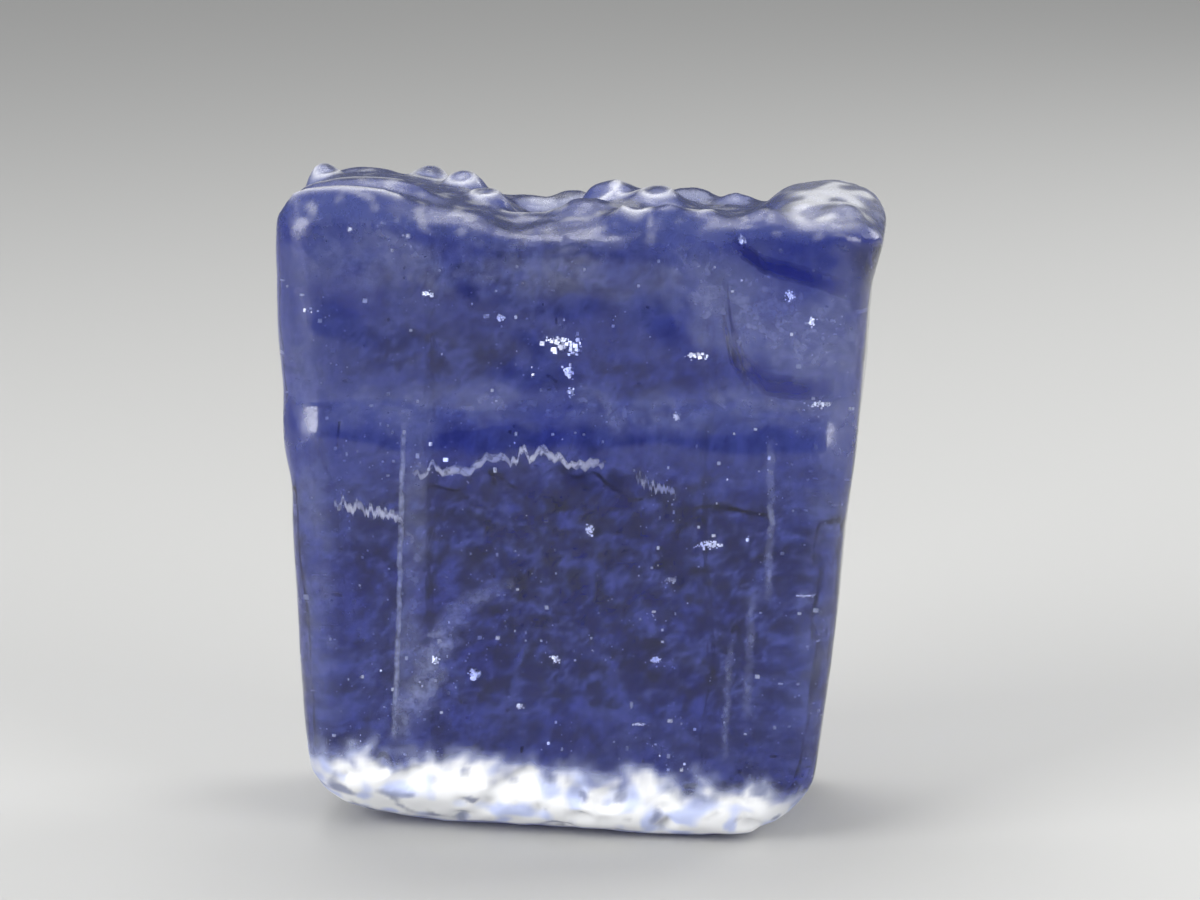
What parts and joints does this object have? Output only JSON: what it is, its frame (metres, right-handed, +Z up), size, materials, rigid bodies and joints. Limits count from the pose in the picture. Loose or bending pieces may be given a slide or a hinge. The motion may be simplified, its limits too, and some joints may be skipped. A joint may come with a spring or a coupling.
{
  "type": "blue halite crystal",
  "caption": "Transparent blue-violet salt crystal, a worn cleavage block with rounded edges, a lumpy crown and a pitted foot.",
  "frame": {"origin": "middle of the bounding box, on the surface that the crystal stands on", "axes": "+Z up, +X to the right seen from the front, the broad front face looks along -Y"},
  "size_m": [0.0262, 0.0126, 0.0288],
  "materials": {
    "halite": "clear blue-violet salt, glossy on the worn faces, frosted white at the pitted foot"
  },
  "bodies": {
    "root": {"halite_crystal": "halite"}
  },
  "joints": []
}
